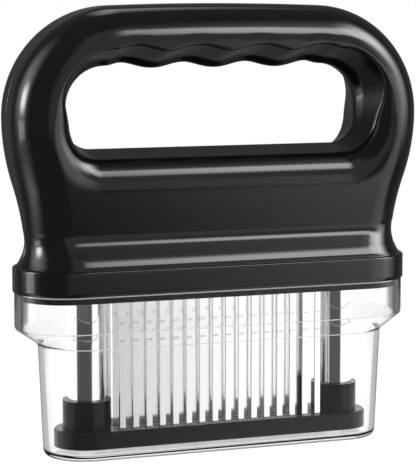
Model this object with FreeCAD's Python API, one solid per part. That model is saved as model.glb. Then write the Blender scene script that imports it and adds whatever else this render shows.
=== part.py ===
import FreeCAD, Part
import math
import os

# Blade meat tenderizer standing in its clear cover. Millimetres, +Z up.
# X runs along the grip, -Y is the front, and Z = 0 is the underside of the cover.
# A handle of two shells carries three rows of blades. A guard plate on two sprung tubes hides
# the blade tips, and slides up towards the handle when the handle is pressed down.

Vector = FreeCAD.Vector

# Layout of the whole tool
post_spacing = 96.0          # between the axes of the two guide tubes
stroke = 30.0                # travel of the guard plate
far = 200.0                  # beyond anything in the tool, for cutting bodies
overrun = 1.0                # how far a cutting body runs past a face

# Fits and small clearances
press_fit = 0.02             # a thread in its hole, a tube in its socket, a plug in its tube
slide_fit = 0.06             # tube in its bush
screw_clearance = 0.1
seat_clearance = 0.05        # under a countersunk head
hole_spare = 0.5             # a blind hole is deeper than its screw or pin by this

# Clear cover
cover_height = 59.0          # floor to rim
cover_wall = 1.9
cover_floor = 2.0
cover_side_gap = 1.7         # guard plate to cover, at the floor
cover_draft = 1.7            # how much wider the lower box is at its top
cover_band_height = 13.2     # the upright band under the rim
cover_shoulder_height = 5.6  # the slope below that band
cover_inset = 0.6            # the rim stands in from the skirt of the handle by this
cover_foot_fillet = 2.6

# Guard plate
plate_rest_gap = 1.65        # over the floor of the cover
plate_thickness = 6.1
plate_end_radius = 11.8
plate_edge_fillet = 0.8
socket_radius = 8.6
socket_height = 10.25        # above the plate
socket_floor = 2.5
groove_depth = 0.8
groove_width = 1.2
groove_offset = 2.5          # from a row of blades to the groove beside it
groove_run_out = 0.8         # past the last blade
slot_clearance = 0.4         # round each blade

# Guide tubes and what is in them
tube_radius = 6.75
tube_wall = 0.8
tube_above_bush = 2.8
plug_height = 15.0
tube_screw_radius = 1.5
tube_screw_head_radius = 3.0
tube_screw_head = 1.6
tube_screw_length = 11.0
ring_thickness = 1.2
ring_inset = 0.1             # smaller in radius than the bush below it
ring_groove = 0.4
ring_play = 0.02
ring_seat_gap = 0.2

# Springs and the shelves above them
spring_wire = 1.0
spring_tube_gap = 0.6
spring_turns = 16
spring_seat_gap = 0.1
spring_guide_gap = 0.35
spring_guide_length = 20.0
spring_guide_flange = 1.6
spring_guide_rim = 0.6       # the flange reaches past the middle of the wire by this
spring_guide_stud = 1.6
spring_guide_fillet = 1.2
shelf_gap = 2.2              # over the tubes at the end of their travel
shelf_thickness = 2.5
shelf_half_width = 9.0

# Base plate, bushes and screws
neck_height = 2.7            # the part of the base plate that the cover grips
neck_clearance = 0.2
base_thickness = 6.7
shell_clearance = 0.1
bush_radius = 8.0
bush_height = 11.9
base_screw_radius = 1.5
base_screw_head_radius = 2.8
base_screw_head = 1.8
base_screw_length = 9.0
base_screw_offset = 14.0     # outwards from the tubes
base_screw_inset = 9.0       # from the face of the skirt
screw_boss_wall = 1.7
screw_boss_roof = 2.4
recess_reach = 1.5           # half of the cross in a screw head
recess_depth = 0.9
recess_half_width = 0.28

# Blades and their holder
blade_count = 16             # in each row
blade_end_gap = 0.85         # between the last blade of a row and the socket beside it
row_spacing = 8.6
blade_width = 2.1
blade_thickness = 0.7
blade_point = 3.0
blade_point_width = 0.7
blade_point_thickness = 0.16
blade_tip_cover = 1.2        # the guard plate reaches below the tips by this
blade_head_width = 3.8
blade_head_height = 2.0
blade_fit = 0.03
holder_height = 9.0
holder_end_gap = 0.3         # between the holder and a bush
holder_side_wall = 3.0
cap_thickness = 2.0
holder_screw_pitches = 5     # blade pitches from the middle
holder_screw_radius = 1.25
holder_screw_head_radius = 2.4
holder_screw_head = 1.5
holder_screw_bite = 4.5

# Handle
shell_wall = 2.6
skirt_end = 26.0             # past the axis of a tube
skirt_half_depth = 19.5
skirt_height = 9.0
skirt_edge_fillet = 0.8
skirt_ceiling = 0.6          # solid stuff left under the top of the skirt
waist_inset = 4.75           # the narrowest part stands in from the skirt by this
waist_depth_inset = 6.2
waist_side_flat = 0.3        # half of the flat between the rounded corners
arm_bulge = 2.3              # the widest part stands out from the skirt by this
widest_rise = 52.0           # above the top of the skirt
widest_depth_inset = 0.5
widest_side_flat = 5.0
lower_side_radius = 113.0
side_flare_radius = 14.0
side_flare_angle = 47.6      # turned through by the curve above the skirt
front_flare_radius = 18.9
front_flare_angle = 46.5
flare_sink = 1.0             # the curves start inside the skirt by this
arch_radius = 39.0
crown_radius = 1042.0
ledge_width = 2.4
ledge_height = 1.6

# Hand opening, with heights from the widest level of the handle
opening_floor_drop = 11.2
opening_top_rise = 19.0
arm_width = 21.1             # from the opening to the outside, at the middle plane
opening_low_corner = 9.0
opening_high_corner = 14.0
opening_draft = 2.1          # wider by this where its rounded edge starts
opening_edge_radius = 6.5
finger_margin = 5.85         # from the outer hollows to the corners of the opening
finger_depth = 2.0
finger_end_depth = 1.1
relief_start_rise = 6.7      # where the finger relief runs out
relief_rise = 7.2
relief_widening = 3.6
relief_corner = 18.0
relief_foot_corner = 1.0

# Joints between the shells
shell_pin_radius = 1.6
shell_pin_length = 4.0
shell_pin_root = 2.0
shell_pin_fit = 0.05
shell_boss_radius = 3.4
arm_pin_inset = 11.6         # in from the widest side
arm_pin_drop = 2.0           # below the widest level
low_pin_x = 26.0
low_pin_drop = 12.2          # below the hand opening
grip_pin_x = 20.0
grip_pin_rise = 12.2         # above the hand opening

# Worked out from the sizes above
post_x = post_spacing / 2
plate_low = cover_floor + plate_rest_gap
plate_top = plate_low + plate_thickness
socket_top = plate_top + socket_height
cover_foot_radius = plate_end_radius + cover_side_gap + cover_wall
cover_shoulder_high = cover_height - cover_band_height
cover_shoulder_low = cover_shoulder_high - cover_shoulder_height

skirt_low = cover_height
skirt_top = skirt_low + skirt_height
skirt_half_length = post_x + skirt_end
base_low = skirt_low - neck_height
base_top = base_low + base_thickness
base_screw_x = post_x + base_screw_offset
base_screw_y = skirt_half_depth - base_screw_inset
base_screw_end = base_low + base_screw_head + base_screw_length
screw_boss_top = base_screw_end + hole_spare + screw_boss_roof

bush_top = base_low + bush_height
tube_low = plate_low + socket_floor
tube_inner_radius = tube_radius - tube_wall
tube_top = bush_top + tube_above_bush
ring_low = bush_top + ring_seat_gap
ring_radius = bush_radius - ring_inset
plug_top = tube_low + plug_height
shelf_low = tube_top + stroke + shelf_gap
shelf_top = shelf_low + shelf_thickness
spring_mean_radius = tube_inner_radius - spring_tube_gap - spring_wire / 2
spring_guide_radius = spring_mean_radius - spring_wire / 2 - spring_guide_gap

holder_top = base_top + holder_height
cap_top = holder_top + cap_thickness
blade_tip = plate_low + blade_tip_cover
blade_reach = post_x - socket_radius - blade_end_gap
blade_pitch = (2 * blade_reach - blade_width) / (blade_count - 1)
row_places = [-row_spacing, 0.0, row_spacing]
column_places = [(i - (blade_count - 1) / 2) * blade_pitch for i in range(blade_count)]

waist_half_length = skirt_half_length - waist_inset
waist_half_depth = skirt_half_depth - waist_depth_inset
widest_half_depth = skirt_half_depth - widest_depth_inset
body_start = skirt_top - flare_sink
side_flare_top = body_start + side_flare_radius * math.sin(math.radians(side_flare_angle))
flare_top = body_start + front_flare_radius * math.sin(math.radians(front_flare_angle))
widest_height = skirt_top + widest_rise
widest_half_length = skirt_half_length + arm_bulge
opening_floor = widest_height - opening_floor_drop
opening_top = widest_height + opening_top_rise
opening_half_width = widest_half_length - arm_width
opening_edge_start = widest_half_depth - opening_edge_radius
finger_half_pitch = (opening_half_width - opening_high_corner - finger_margin) / 3
relief_start = widest_height + relief_start_rise
shell_pin_places = [
    (side * x, z)
    for x, z in (
        (widest_half_length - arm_pin_inset, widest_height - arm_pin_drop),
        (low_pin_x, opening_floor - low_pin_drop),
        (grip_pin_x, opening_top + grip_pin_rise))
    for side in (-1, 1)]


def cylinder(radius, low, high, x=0.0, y=0.0):
    return Part.makeCylinder(radius, high - low, Vector(x, y, low))


def cone(low_radius, high_radius, low, high, x=0.0, y=0.0):
    return Part.makeCone(low_radius, high_radius, high - low, Vector(x, y, low))


def block(half_x, half_y, low, high, x=0.0, y=0.0):
    return Part.makeBox(2 * half_x, 2 * half_y, high - low, Vector(x - half_x, y - half_y, low))


def tube(outer, inner, low, high, x=0.0, y=0.0):
    return cylinder(outer, low, high, x, y).cut(cylinder(inner, low - overrun, high + overrun, x, y))


def depth_cylinder(radius, near, length, x, z, side=1):
    """A cylinder along Y, from y = near and away from the middle plane on the given side."""
    return Part.makeCylinder(radius, length, Vector(x, side * near, z), Vector(0, side, 0))


def rounded_wire(half_length, half_depth, corner, height):
    """A level rectangle with round corners, as four arcs and four straight edges."""
    corners = []
    for quarter, (side_x, side_y) in enumerate([(1, 1), (-1, 1), (-1, -1), (1, -1)]):
        centre = Vector(side_x * (half_length - corner), side_y * (half_depth - corner), height)
        points = []
        for step in range(3):
            angle = math.radians(90 * quarter + 45 * step)
            points.append(centre + Vector(corner * math.cos(angle), corner * math.sin(angle), 0))
        corners.append(points)
    edges = []
    for quarter in range(4):
        points = corners[quarter]
        edges.append(Part.Arc(points[0], points[1], points[2]).toShape())
        edges.append(Part.LineSegment(points[2], corners[(quarter + 1) % 4][0]).toShape())
    return Part.Wire(edges)


def rounded_prism(half_length, half_depth, corner, low, high):
    face = Part.Face(rounded_wire(half_length, half_depth, corner, low))
    return face.extrude(Vector(0, 0, high - low))


def stadium_prism(end_radius, low, high):
    """A level slab whose round ends are centred on the two posts."""
    slab = block(post_x, end_radius, low, high)
    ends = [cylinder(end_radius, low, high, side * post_x) for side in (-1, 1)]
    return slab.fuse(ends).removeSplitter()


def level_edges(shape, height):
    """The edges of a shape that lie at one height."""
    near = 1e-4
    boxes = [(edge, edge.BoundBox) for edge in shape.Edges]
    return [edge for edge, box in boxes if abs(box.ZMin - height) < near and abs(box.ZMax - height) < near]


def save(node, shape):
    if shape.ShapeType == "Compound" and len(shape.Solids) == 1:
        shape = shape.Solids[0]
    shape.exportStep("parts/" + node + ".step")
    state = "valid" if shape.isValid() else "NOT VALID"
    print(node, len(shape.Solids), "solids", round(shape.Volume, 1), "mm3", state)


def body_rise(height):
    """0 where the side of the handle starts and 1 at its widest, on two arcs that meet smoothly."""
    gain = widest_half_length - waist_half_length
    span = widest_height - body_start
    upper_radius = (gain * gain + span * span) / (2 * gain) - lower_side_radius
    meeting = body_start + span * lower_side_radius / (lower_side_radius + upper_radius)
    if height <= meeting:
        out = lower_side_radius - math.sqrt(lower_side_radius ** 2 - (height - body_start) ** 2)
    else:
        out = gain - upper_radius + math.sqrt(upper_radius ** 2 - (widest_height - height) ** 2)
    return out / gain


def flare_out(height, top, radius):
    """How far the foot of the handle curves out over its skirt."""
    if height >= top:
        return 0.0
    return radius - math.sqrt(radius ** 2 - (top - height) ** 2)


def body_section(height, inset):
    rise = body_rise(height)
    half_length = waist_half_length + rise * (widest_half_length - waist_half_length)
    half_depth = waist_half_depth + rise * (widest_half_depth - waist_half_depth)
    if height < flare_top:
        length_gain = flare_out(height, side_flare_top, side_flare_radius)
        depth_gain = flare_out(height, flare_top, front_flare_radius)
        half_length = min(half_length + length_gain, skirt_half_length)
        half_depth = min(half_depth + depth_gain, skirt_half_depth)
    half_length -= inset
    half_depth -= inset
    side_flat = waist_side_flat + rise * (widest_side_flat - waist_side_flat)
    return rounded_wire(half_length, half_depth, half_depth - side_flat, height)


def arch_profile(inset):
    """Half of the level section at the widest height, from the centre of the arch outwards."""
    reach = widest_half_length - inset
    depth = widest_half_depth - inset
    corner = depth - widest_side_flat
    start = widest_half_length - arch_radius
    diagonal = corner * math.sqrt(0.5)
    near, far = Vector(start, -depth, 0), Vector(start, depth, 0)
    front_low, front_high = Vector(reach - corner, -depth, 0), Vector(reach, corner - depth, 0)
    rear_low, rear_high = Vector(reach - corner, depth, 0), Vector(reach, depth - corner, 0)
    front_middle = Vector(reach - corner + diagonal, corner - depth - diagonal, 0)
    rear_middle = Vector(reach - corner + diagonal, depth - corner + diagonal, 0)
    edges = [
        Part.LineSegment(near, front_low).toShape(),
        Part.Arc(front_low, front_middle, front_high).toShape(),
        Part.LineSegment(front_high, rear_high).toShape(),
        Part.Arc(rear_high, rear_middle, rear_low).toShape(),
        Part.LineSegment(rear_low, far).toShape(),
        Part.LineSegment(far, near).toShape(),
    ]
    face = Part.Face(Part.Wire(edges))
    face.translate(Vector(0, 0, widest_height))
    return face


def handle_form(inset):
    """The outer form of the handle without its opening, drawn in by inset."""
    flare_steps = 8
    turns = [math.radians(front_flare_angle) * (1 - step / flare_steps) for step in range(flare_steps + 1)]
    flare_heights = [flare_top - front_flare_radius * math.sin(turn) for turn in turns]
    body_steps = 8
    body_span = widest_height - flare_top
    body_heights = [flare_top + body_span * step / body_steps for step in range(body_steps + 1)]
    flare = Part.makeLoft([body_section(height, inset) for height in flare_heights], True, False)
    body = Part.makeLoft([body_section(height, inset) for height in body_heights], True, False)
    skirt_depth = skirt_half_depth - inset
    skirt_length = skirt_half_length - inset
    if inset:
        low, high = skirt_low - overrun, skirt_top - skirt_ceiling
    else:
        low, high = skirt_low, skirt_top
    skirt = rounded_prism(skirt_length, skirt_depth, skirt_depth - waist_side_flat, low, high)
    if not inset:
        skirt = skirt.makeFillet(skirt_edge_fillet, level_edges(skirt, skirt_top))
    arch_x = widest_half_length - arch_radius
    crown_angle = math.degrees(math.asin(arch_x / (crown_radius - arch_radius)))
    crown_drop = (crown_radius - arch_radius) * math.cos(math.radians(crown_angle))
    profile = arch_profile(inset)
    right = profile.revolve(Vector(arch_x, 0, widest_height), Vector(0, -1, 0), 90 - crown_angle)
    left = right.mirror(Vector(0, 0, 0), Vector(1, 0, 0))
    middle = profile.rotated(Vector(arch_x, 0, widest_height), Vector(0, -1, 0), 90 - crown_angle)
    middle = middle.revolve(Vector(0, 0, widest_height - crown_drop), Vector(0, -1, 0), 2 * crown_angle)
    return body.fuse([flare, skirt, right, left, middle])


def wave_edge(half_span, height, y):
    """The upper edge of the opening: four finger hollows side by side."""
    points = [Vector(half_span, y, height - finger_end_depth)]
    for step in range(3, -4, -1):
        crest = height if step % 2 else height - finger_depth
        points.append(Vector(step * finger_half_pitch, y, crest))
    points.append(Vector(-half_span, y, height - finger_end_depth))
    curve = Part.BSplineCurve()
    curve.interpolate(points)
    return curve.toShape()


def opening_wire(y, half_width, low, high, low_corner, high_corner):
    """An upright outline of the opening at one depth."""
    shoulder = high - finger_end_depth
    low_diagonal = low_corner * (1 - math.sqrt(0.5))
    high_diagonal = high_corner * (1 - math.sqrt(0.5))
    edges = []
    for side in (1, -1):
        corner = [
            Vector(side * (half_width - low_corner), y, low),
            Vector(side * (half_width - low_diagonal), y, low + low_diagonal),
            Vector(side * half_width, y, low + low_corner),
            Vector(side * half_width, y, shoulder - high_corner),
            Vector(side * (half_width - high_diagonal), y, shoulder - high_diagonal),
            Vector(side * (half_width - high_corner), y, shoulder),
        ]
        arcs = [
            Part.Arc(corner[0], corner[1], corner[2]).toShape(),
            Part.LineSegment(corner[2], corner[3]).toShape(),
            Part.Arc(corner[3], corner[4], corner[5]).toShape(),
        ]
        if side == 1:
            edges += arcs + [wave_edge(half_width - high_corner, high, y)]
        else:
            edges += arcs[::-1]
    foot = half_width - low_corner
    edges.append(Part.LineSegment(Vector(-foot, y, low), Vector(foot, y, low)).toShape())
    return Part.Wire(Part.__sortEdges__(edges))


def opening_form(outset):
    """The hand opening, with drafted walls and rounded edges, grown by outset."""
    stations = [(0.0, 0.0), (opening_edge_start, opening_draft)]
    for angle in (25, 45, 62, 76):
        turn = math.radians(angle)
        depth = opening_edge_start + opening_edge_radius * math.sin(turn)
        stations.append((depth, opening_draft + opening_edge_radius * (1 - math.cos(turn))))
    stations.append((stations[-1][0] + overrun, stations[-1][1] + overrun * math.tan(turn)))
    halves = []
    for side in (-1, 1):
        wires = []
        for depth, widening in stations:
            grow = widening + outset
            wires.append(opening_wire(
                side * depth, opening_half_width + grow, opening_floor - grow, opening_top + grow,
                opening_low_corner + grow, opening_high_corner + grow))
        halves.append(Part.makeLoft(wires[:2], True, True))
        halves.append(Part.makeLoft(wires[1:], True, False))
        halves.append(finger_relief(side, outset))
    return halves[0].fuse(halves[1:])


def finger_relief(side, outset):
    """The slope under the grip, from the middle plane up to a crisp lip on each face."""
    reach = widest_half_depth + overrun
    growth = reach / widest_half_depth
    foot = relief_start - outset
    wires = []
    for depth, rise, widening, corner in (
            (0.0, 0.0, 0.0, opening_high_corner),
            (reach, relief_rise * growth, relief_widening * growth, relief_corner)):
        wires.append(opening_wire(
            side * depth, opening_half_width + widening + outset, foot - relief_rise,
            opening_top + rise + outset, relief_foot_corner, corner + outset))
    slope = Part.makeLoft(wires, True, True)
    return slope.cut(block(far, far, foot - 2 * relief_rise, foot))


def shell_ledge():
    """A ledge round the inside of the skirt, that the base plate is screwed up against."""
    outer_inset = shell_wall / 2
    inner_inset = shell_wall + ledge_width
    rings = []
    for inset, low, high in (
            (outer_inset, base_top, base_top + ledge_height),
            (inner_inset, base_top - overrun, base_top + ledge_height + overrun)):
        depth = skirt_half_depth - inset
        rings.append(rounded_prism(skirt_half_length - inset, depth, depth - waist_side_flat, low, high))
    return rings[0].cut(rings[1])


def spring_shelf(side):
    """The shelf that a spring pushes against, with the hole for the stud of its guide."""
    x = side * post_x
    shelf = block(shelf_half_width, widest_half_depth, shelf_low, shelf_top, x)
    return shelf.cut(cylinder(spring_guide_stud + shell_pin_fit, shelf_low - overrun, shelf_top + overrun, x))


def screw_boss(x, y):
    """The post that a base screw bites into, with a rib out to the wall."""
    radius = base_screw_radius + screw_boss_wall
    half_rib = skirt_half_depth / 2
    rib = block(radius, half_rib, base_top, screw_boss_top, x, y + math.copysign(half_rib, y))
    return cylinder(radius, base_top, screw_boss_top, x, y).fuse(rib)


def shell(side, whole, inside):
    """One half of the handle: side is -1 for the front and 1 for the rear."""
    half_space = Part.makeBox(2 * far, far, 2 * far, Vector(-far, -far if side < 0 else 0, -far))
    extras = [shell_ledge(), spring_shelf(-1).common(inside), spring_shelf(1).common(inside)]
    for x, z in shell_pin_places:
        extras.append(depth_cylinder(shell_boss_radius, 0, far, x, z, side).common(inside))
    extras += [screw_boss(x, y).common(inside) for x, y in base_screw_places()]
    half = whole.common(half_space).fuse([extra.common(half_space) for extra in extras])
    for x, y in base_screw_places():
        half = half.cut(cylinder(base_screw_radius + press_fit, base_low, base_screw_end + hole_spare, x, y))
    for x, z in shell_pin_places:
        if side < 0:
            length = shell_pin_root + shell_pin_length
            half = half.fuse(depth_cylinder(shell_pin_radius, -shell_pin_root, length, x, z))
        else:
            length = shell_pin_length + hole_spare
            half = half.cut(depth_cylinder(shell_pin_radius + shell_pin_fit, 0, length, x, z))
    return half.removeSplitter()


def handle_shells():
    hollow = handle_form(shell_wall).cut(opening_form(shell_wall))
    whole = handle_form(0).cut(opening_form(0)).cut(hollow)
    third = shell_wall / 3
    inside = handle_form(third).cut(opening_form(third))
    save("front_shell", shell(-1, whole, inside))
    save("rear_shell", shell(1, whole, inside))


def base_screw_places():
    return [(i * base_screw_x, j * base_screw_y) for i in (-1, 1) for j in (-1, 1)]


def holder_screw_places():
    x = holder_screw_pitches * blade_pitch
    return [(i * x, j * row_spacing / 2) for i in (-1, 1) for j in (-1, 1)]


def base_plate():
    half_length = skirt_half_length - shell_wall - shell_clearance
    half_depth = skirt_half_depth - shell_wall - shell_clearance
    neck_inset = cover_inset + cover_wall + neck_clearance
    neck_length = skirt_half_length - neck_inset
    neck_depth = skirt_half_depth - neck_inset
    plate = rounded_prism(half_length, half_depth, half_depth - waist_side_flat, skirt_low, base_top)
    neck = rounded_prism(neck_length, neck_depth, neck_depth - waist_side_flat, base_low, skirt_low)
    plate = plate.fuse(neck).removeSplitter()
    low, high = base_low - overrun, base_top + overrun
    for side in (-1, 1):
        plate = plate.cut(cylinder(bush_radius + press_fit, low, high, side * post_x))
    slot_y = blade_thickness / 2 + slot_clearance
    head_radius = base_screw_head_radius + screw_clearance
    for y in row_places:
        plate = plate.cut(block(blade_reach + slot_clearance, slot_y, low, high, 0, y))
    for x, y in base_screw_places():
        plate = plate.cut(cylinder(base_screw_radius + screw_clearance, low, high, x, y))
        plate = plate.cut(cylinder(head_radius, low, base_low + base_screw_head, x, y))
    for x, y in holder_screw_places():
        foot = base_top - holder_screw_bite - hole_spare
        plate = plate.cut(cylinder(holder_screw_radius + press_fit, foot, high, x, y))
    save("base_plate", plate)


def base_screws():
    screws = []
    for x, y in base_screw_places():
        head = cylinder(base_screw_head_radius, base_low, base_low + base_screw_head, x, y)
        shank = cylinder(base_screw_radius, base_low, base_screw_end, x, y)
        recess = cross_recess(base_low, base_low + recess_depth, x, y)
        screws.append(head.fuse(shank).cut(recess).removeSplitter())
    save("base_screws", Part.makeCompound(screws))


def cross_recess(low, high, x, y):
    """The cross in a screw head."""
    return block(recess_reach, recess_half_width, low, high, x, y).fuse(
        block(recess_half_width, recess_reach, low, high, x, y))


def blade(x, y):
    shank_low = blade_tip + blade_point
    shank_top = holder_top - blade_head_height
    shank = block(blade_width / 2, blade_thickness / 2, shank_low, holder_top, x, y)
    head = block(blade_head_width / 2, blade_thickness / 2, shank_top, holder_top, x, y)
    rings = []
    for half_x, half_y, z in (
            (blade_point_width / 2, blade_point_thickness / 2, blade_tip),
            (blade_width / 2, blade_thickness / 2, shank_low)):
        corners = [Vector(x - half_x, y - half_y, z), Vector(x + half_x, y - half_y, z),
                   Vector(x + half_x, y + half_y, z), Vector(x - half_x, y + half_y, z)]
        rings.append(Part.makePolygon(corners + corners[:1]))
    point = Part.makeLoft(rings, True, True)
    return shank.fuse([head, point]).removeSplitter()


def blade_rows():
    for node, y in zip(("front_blade_row", "middle_blade_row", "rear_blade_row"), row_places):
        save(node, Part.makeCompound([blade(x, y) for x in column_places]))


def blade_holder():
    half_x = post_x - bush_radius - holder_end_gap
    half_y = row_spacing + holder_side_wall
    holder = block(half_x, half_y, base_top, holder_top)
    cap = block(half_x, half_y, holder_top, cap_top)
    low, high = base_top - overrun, holder_top + overrun
    half_thickness = blade_thickness / 2 + blade_fit
    cutters = []
    for y in row_places:
        for x in column_places:
            cutters.append(block(blade_width / 2 + blade_fit, half_thickness, low, high, x, y))
            head_low = holder_top - blade_head_height
            cutters.append(block(blade_head_width / 2 + blade_fit, half_thickness, head_low, high, x, y))
    hole_radius = holder_screw_radius + press_fit
    for x, y in holder_screw_places():
        cutters.append(cylinder(hole_radius, low, high, x, y))
        cap = cap.cut(cylinder(hole_radius, holder_top - overrun, cap_top + overrun, x, y))
    save("blade_holder", holder.cut(Part.makeCompound(cutters)))
    save("holder_cap", cap)


def holder_screws():
    head_top = cap_top + holder_screw_head
    screws = []
    for x, y in holder_screw_places():
        head = cylinder(holder_screw_head_radius, cap_top, head_top, x, y)
        shank = cylinder(holder_screw_radius, base_top - holder_screw_bite, head_top, x, y)
        recess = cross_recess(head_top - recess_depth, head_top, x, y)
        screws.append(head.fuse(shank).cut(recess).removeSplitter())
    save("holder_screws", Part.makeCompound(screws))


def groove_places():
    """Middles of the grooves between the rows of blades, on both sides of the middle plane."""
    offsets = {abs(row) + sign * groove_offset for row in row_places for sign in (-1, 1)}
    inside = [y for y in sorted(offsets) if 0 < y < plate_end_radius - groove_width]
    return [side * y for y in inside for side in (-1, 1)]


def guard_plate():
    plate = stadium_prism(plate_end_radius, plate_low, plate_top)
    plate = plate.makeFillet(plate_edge_fillet, level_edges(plate, plate_top))
    low, high = plate_low - overrun, plate_top + overrun
    slot_x = blade_width / 2 + slot_clearance
    slot_y = blade_thickness / 2 + slot_clearance
    cutters = [block(slot_x, slot_y, low, high, x, y) for y in row_places for x in column_places]
    groove_reach = blade_reach + groove_run_out
    for y in groove_places():
        cutters.append(block(groove_reach, groove_width / 2, plate_top - groove_depth, high, 0, y))
    plate = plate.cut(Part.makeCompound(cutters))
    hole_radius = tube_screw_radius + screw_clearance
    for x in (-post_x, post_x):
        plate = plate.fuse(cylinder(socket_radius, plate_low + plate_thickness / 2, socket_top, x))
        bore = cylinder(tube_radius + press_fit, tube_low, socket_top + overrun, x)
        hole = cylinder(hole_radius, low, tube_low + overrun, x)
        seat = cone(
            tube_screw_head_radius + seat_clearance, hole_radius, plate_low, plate_low + tube_screw_head, x)
        plate = plate.cut([bore, hole, seat])
    save("guard_plate", plate.removeSplitter())


def post(name, x):
    """A guide tube with its plug, stop ring and bush."""
    groove_floor = tube_radius - ring_groove
    ring_top = ring_low + ring_thickness
    guide_tube = tube(tube_radius, tube_inner_radius, tube_low, tube_top, x)
    groove = tube(tube_radius + overrun, groove_floor, ring_low - ring_play, ring_top + ring_play, x)
    pilot = cylinder(
        tube_screw_radius + press_fit, tube_low - overrun, plate_low + tube_screw_length + hole_spare, x)
    save(name + "_guide_tube", guide_tube.cut(groove))
    save(name + "_stop_ring", tube(ring_radius, groove_floor + press_fit, ring_low, ring_top, x))
    save(name + "_guide_bush", tube(bush_radius, tube_radius + slide_fit, base_low, bush_top, x))
    save(name + "_tube_plug", cylinder(tube_inner_radius - press_fit, tube_low, plug_top, x).cut(pilot))


def tube_screws():
    screws = []
    for x in (-post_x, post_x):
        head_top = plate_low + tube_screw_head - seat_clearance
        head = cone(tube_screw_head_radius, tube_screw_radius, plate_low, head_top, x)
        shank = cylinder(tube_screw_radius, plate_low, plate_low + tube_screw_length, x)
        recess = cross_recess(plate_low, plate_low + recess_depth, x, 0)
        screws.append(head.fuse(shank).cut(recess).removeSplitter())
    save("tube_screws", Part.makeCompound(screws))


def spring_guide(name, x):
    """The stepped pin that keeps the top of a spring in line, its stud held in the shelf."""
    low = shelf_low - spring_guide_length
    stem = cylinder(spring_guide_radius, low, shelf_low, x)
    stem = stem.makeFillet(spring_guide_fillet, level_edges(stem, low))
    flange = cylinder(spring_mean_radius + spring_guide_rim, shelf_low - spring_guide_flange, shelf_low, x)
    stud = cylinder(spring_guide_stud, shelf_low - overrun, shelf_top, x)
    save(name + "_spring_guide", flange.fuse([stem, stud]).removeSplitter())


def spring(name, x):
    """One coil from the plug in its tube up to its guide."""
    low = plug_top + spring_seat_gap + spring_wire / 2
    high = shelf_low - spring_guide_flange - spring_seat_gap - spring_wire / 2
    height = high - low
    path = Part.makeHelix(height / spring_turns, height, spring_mean_radius)
    first = path.Edges[0]
    start = first.valueAt(first.FirstParameter)
    way = first.tangentAt(first.FirstParameter)
    section = Part.Wire(Part.makeCircle(spring_wire / 2, start, way))
    coil = Part.Wire(path.Edges).makePipeShell([section], True, True)
    coil.translate(Vector(x, 0, low))
    save(name + "_spring", coil)


def cover_form(inset, low, high):
    """The form of the cover: a drafted lower box, a sloping shoulder and an upper band."""
    foot = cover_foot_radius - inset
    hip = foot + cover_draft
    rim_length = skirt_half_length - cover_inset - inset
    rim_depth = skirt_half_depth - cover_inset - inset
    sections = []
    for half_length, half_depth, height in (
            (post_x + foot, foot, low),
            (post_x + hip, hip, cover_shoulder_low),
            (rim_length, rim_depth, cover_shoulder_high),
            (rim_length, rim_depth, high)):
        sections.append(rounded_wire(half_length, half_depth, half_depth - waist_side_flat, height))
    pieces = [Part.makeLoft([lower, upper], True, True) for lower, upper in zip(sections, sections[1:])]
    return pieces[0].fuse(pieces[1:]).removeSplitter()


def blade_cover():
    outer = cover_form(0, 0, cover_height)
    outer = outer.makeFillet(cover_foot_fillet, level_edges(outer, 0))
    inner = cover_form(cover_wall, cover_floor, cover_height + overrun)
    inner = inner.makeFillet(cover_foot_fillet - cover_wall, level_edges(inner, cover_floor))
    save("blade_cover", outer.cut(inner))


os.makedirs("parts", exist_ok=True)
handle_shells()
base_plate()
base_screws()
blade_rows()
blade_holder()
holder_screws()
guard_plate()
for name, x in (("left", -post_x), ("right", post_x)):
    post(name, x)
    spring_guide(name, x)
    spring(name, x)
tube_screws()
blade_cover()
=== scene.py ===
import math

import bpy
import numpy as np
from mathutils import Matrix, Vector


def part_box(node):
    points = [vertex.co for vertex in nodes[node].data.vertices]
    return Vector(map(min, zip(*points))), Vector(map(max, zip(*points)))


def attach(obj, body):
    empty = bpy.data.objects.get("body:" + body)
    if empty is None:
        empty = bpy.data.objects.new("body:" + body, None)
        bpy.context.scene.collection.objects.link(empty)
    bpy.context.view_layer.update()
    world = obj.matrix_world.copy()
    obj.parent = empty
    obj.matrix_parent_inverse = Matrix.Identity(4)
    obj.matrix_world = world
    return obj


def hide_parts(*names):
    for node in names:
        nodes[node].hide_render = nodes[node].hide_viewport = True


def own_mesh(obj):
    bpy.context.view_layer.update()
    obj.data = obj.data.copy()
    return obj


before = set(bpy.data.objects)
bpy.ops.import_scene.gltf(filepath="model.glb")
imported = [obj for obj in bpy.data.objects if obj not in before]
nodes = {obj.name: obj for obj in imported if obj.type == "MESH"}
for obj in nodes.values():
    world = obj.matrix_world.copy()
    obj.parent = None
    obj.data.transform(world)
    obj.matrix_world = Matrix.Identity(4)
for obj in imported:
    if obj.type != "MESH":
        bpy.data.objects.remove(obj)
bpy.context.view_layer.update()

mm = 0.001
print("frame loaded:", len(nodes), "nodes")

# main sizes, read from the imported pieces
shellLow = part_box("front_shell")[0]
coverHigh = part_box("blade_cover")[1]
tubeLow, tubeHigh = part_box("right_guide_tube")
postX = (tubeLow.x + tubeHigh.x) / 2
skirtHeight = 9.0 * mm
skirtTop = coverHigh.z + skirtHeight
skirtHalfLength = postX + 26.0 * mm
skirtHalfDepth = -shellLow.y


# camera

camera = {
    "place": (-0.2511, -0.66597, 0.16265),
    "turn": 20.527,         # degrees from straight at the front
    "tilt": 6.836,          # degrees down
    "lens": 153.55,
    "sensor": 36.0,
    "near": 0.01,
}


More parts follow.
